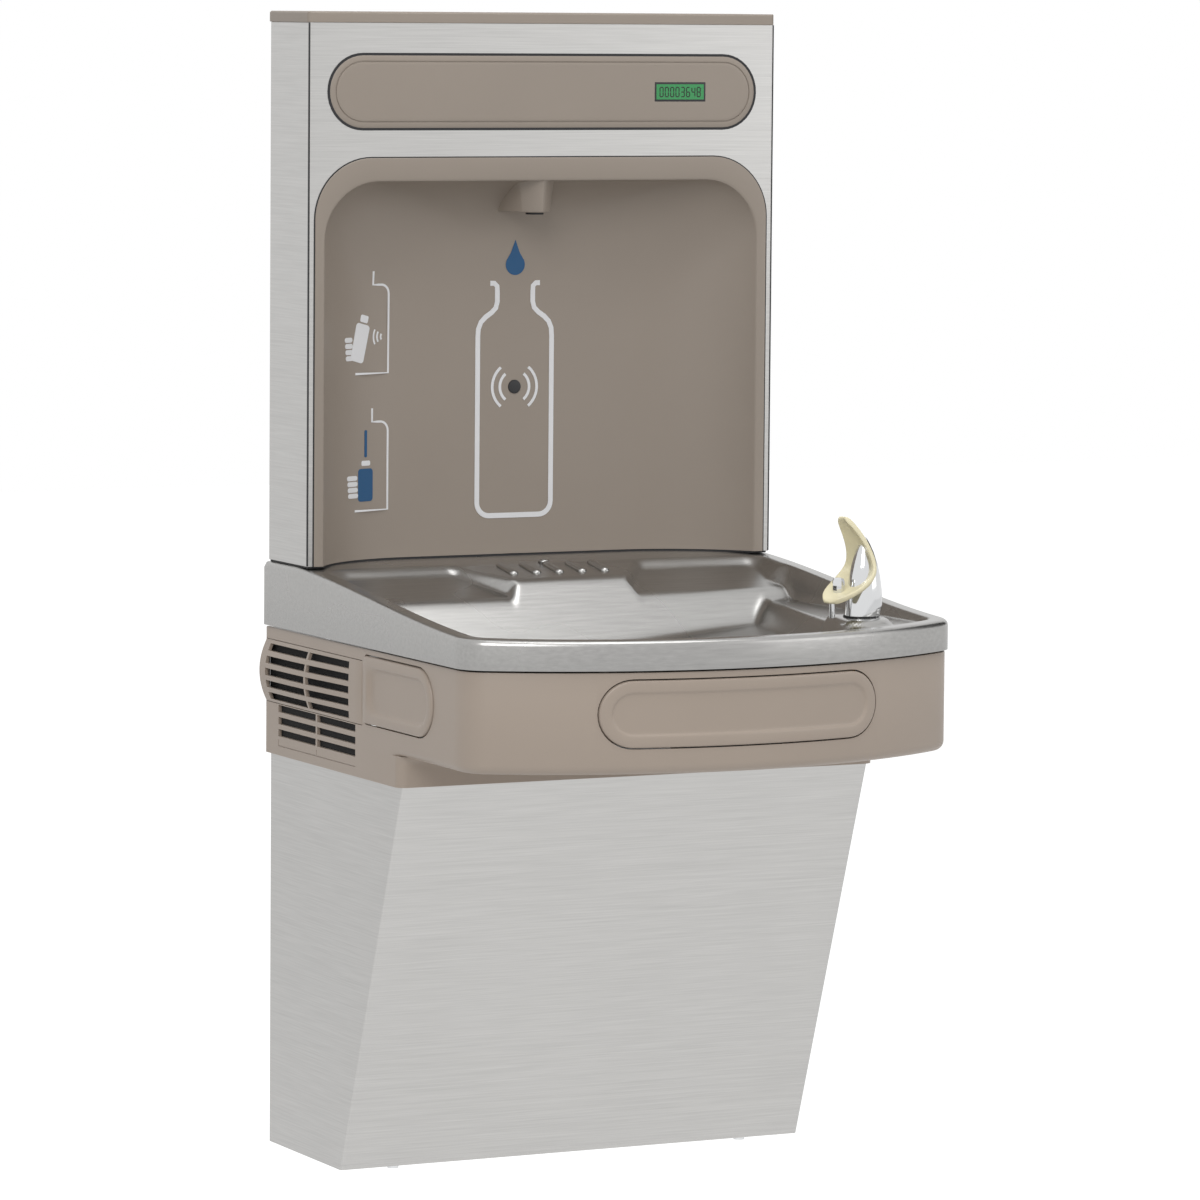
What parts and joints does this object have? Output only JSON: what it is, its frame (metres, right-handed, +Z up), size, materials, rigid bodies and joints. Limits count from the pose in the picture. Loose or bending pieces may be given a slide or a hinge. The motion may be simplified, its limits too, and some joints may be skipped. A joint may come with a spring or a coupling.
{
  "type": "bottle filling station",
  "caption": "Wall hung chilled drinking fountain with a bottle filler alcove, display strip, steel basin, shielded bubbler and push controls.",
  "frame": {"origin": "wall plane, centreline, lower edge of the cabinet", "axes": "+X to the viewer's right, +Y into the wall, +Z up"},
  "size_m": [0.472, 0.4844, 1.005],
  "materials": {
    "brushed_steel": "fine brushed stainless",
    "tan_plastic": "satin moulded",
    "warm_plastic": "satin moulded",
    "black_rubber": "matte",
    "cream_rubber": "soft matte",
    "chrome": "polished",
    "galvanised": "zinc coated",
    "black_paint": "gloss black",
    "white_plastic": "moulded",
    "black_plastic": "moulded",
    "green_glass": "lit display",
    "circuit_board": "solder mask",
    "copper": "drawn",
    "brass": "machined"
  },
  "bodies": {
    "station": {"tower_front": "brushed_steel", "tower_side_left": "brushed_steel", "tower_side_right": "brushed_steel", "tower_back": "galvanised", "tower_cap": "tan_plastic", "tower_gasket": "black_rubber", "alcove_liner": "tan_plastic", "filler_nozzle": "black_plastic", "filler_valve": "white_plastic", "filler_tube": "white_plastic", "display_gasket": "black_rubber", "display_panel": "tan_plastic", "display_window": "green_glass", "display_module": "circuit_board", "control_board": "circuit_board", "sensor_lens": "black_plastic", "sensor_module": "circuit_board", "basin_top": "brushed_steel", "drain_strainer": "chrome", "drain_nut": "chrome", "drain_pipe": "white_plastic", "bubbler_washer": "black_rubber", "bubbler_body": "chrome", "bubbler_stem": "chrome", "bubbler_nozzle": "chrome", "bubbler_guard": "cream_rubber", "bubbler_nut": "chrome", "bubbler_valve": "brass", "bubbler_tube": "white_plastic", "apron": "warm_plastic", "grille_left": "warm_plastic", "grille_right": "warm_plastic", "front_bracket": "galvanised", "front_switch": "black_plastic", "left_bracket": "galvanised", "left_switch": "black_plastic", "right_bracket": "galvanised", "right_switch": "black_plastic", "lower_panel": "brushed_steel", "panel_screws": "galvanised", "back_frame": "galvanised", "base_tray": "galvanised", "wall_bracket": "galvanised", "compressor": "black_paint", "compressor_feet": "black_rubber", "condenser": "copper", "fan_shroud": "black_plastic", "fan_motor": "galvanised", "cold_tank": "galvanised", "tank_foam": "white_plastic", "drier": "copper", "thermostat": "white_plastic", "inlet_valve": "brass"},
    "front_control": {"front_bar": "warm_plastic", "front_plunger": "white_plastic"},
    "left_control": {"left_pad": "warm_plastic", "left_plunger": "white_plastic"},
    "right_control": {"right_pad": "warm_plastic", "right_plunger": "white_plastic"},
    "fan_wheel": {"fan": "white_plastic"}
  },
  "joints": [
    {"name": "front_push", "type": "slide", "parent": "station", "child": "front_control", "axis": [0, 1, 0], "range_m": [0, 0.004], "stiffness_N_per_m": 1500},
    {"name": "left_push", "type": "slide", "parent": "station", "child": "left_control", "axis": [1, 0, 0], "range_m": [0, 0.004], "stiffness_N_per_m": 1200},
    {"name": "right_push", "type": "slide", "parent": "station", "child": "right_control", "axis": [-1, 0, 0], "range_m": [0, 0.004], "stiffness_N_per_m": 1200},
    {"name": "fan_spin", "type": "hinge", "parent": "station", "child": "fan_wheel", "pos_m": [0.107, -0.0945, 0.262], "axis": [1, 0, 0], "continuous": true}
  ]
}
